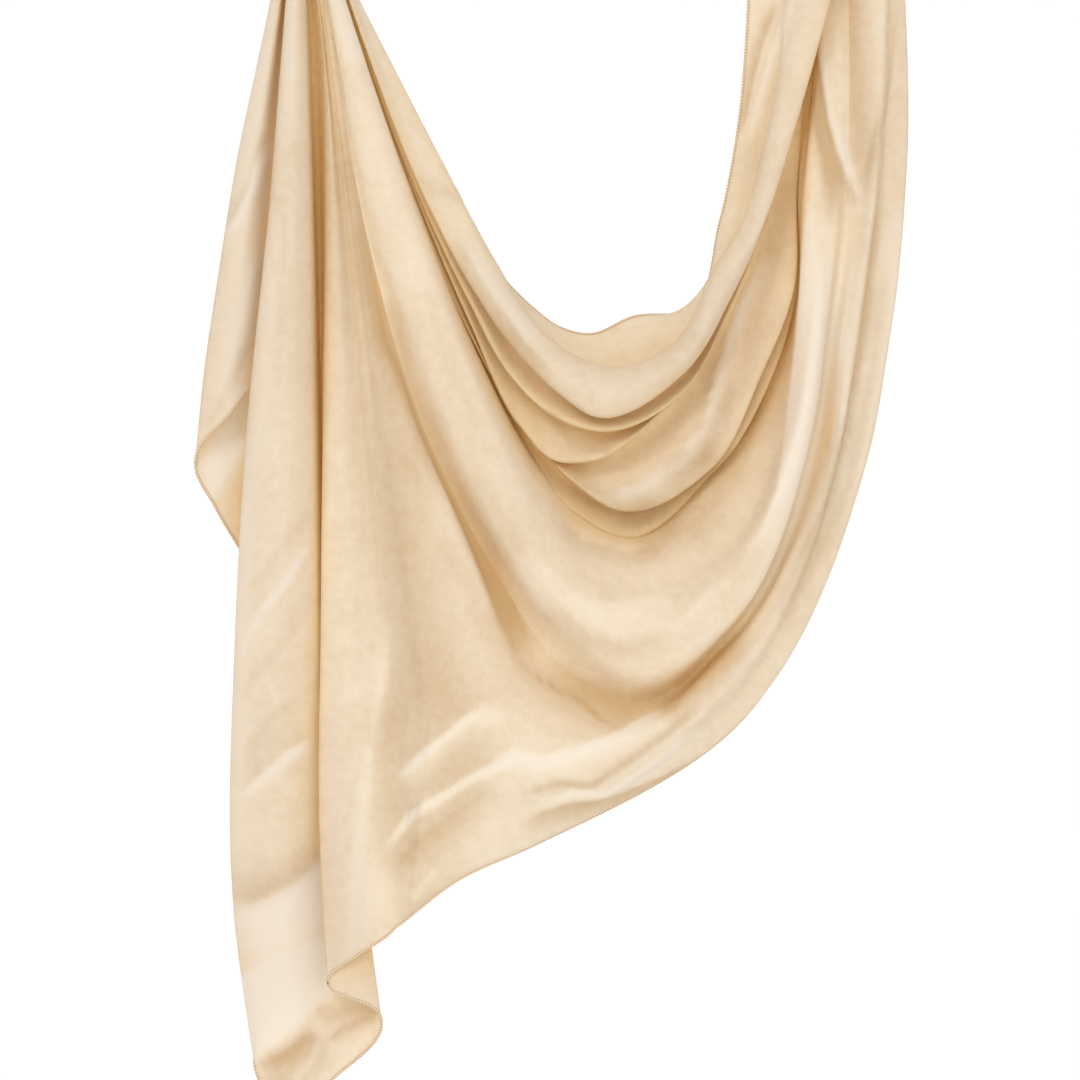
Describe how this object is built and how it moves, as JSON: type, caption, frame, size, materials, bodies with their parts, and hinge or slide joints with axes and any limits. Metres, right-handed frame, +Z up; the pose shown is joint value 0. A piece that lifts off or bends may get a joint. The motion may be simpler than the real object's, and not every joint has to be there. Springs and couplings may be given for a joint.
{
  "type": "hijab",
  "caption": "Thin rectangular head scarf gathered at two holds and hanging between them in deep soft folds, with long ends falling from one hold.",
  "frame": {"origin": "centre of the left hold, where the folds are gathered", "axes": "+X to the right hold, +Y away from the viewer, +Z up"},
  "size_m": [0.5368, 0.0794, 0.8835],
  "materials": {
    "light_cloth": "thin woven cloth with a fine crinkle, beige",
    "shaded_cloth": "the same cloth where it lies inside or behind",
    "hem_thread": "narrow rolled hem in a slightly darker thread"
  },
  "bodies": {
    "root": {"front_roll": "light_cloth", "inner_folds": "shaded_cloth", "swag_panel": "light_cloth", "main_panel": "shaded_cloth", "front_fall": "light_cloth", "outer_fall": "shaded_cloth", "top_hem": "hem_thread", "bottom_hem": "hem_thread", "front_hem": "hem_thread", "outer_hem": "hem_thread", "side_hem": "hem_thread"}
  },
  "joints": []
}
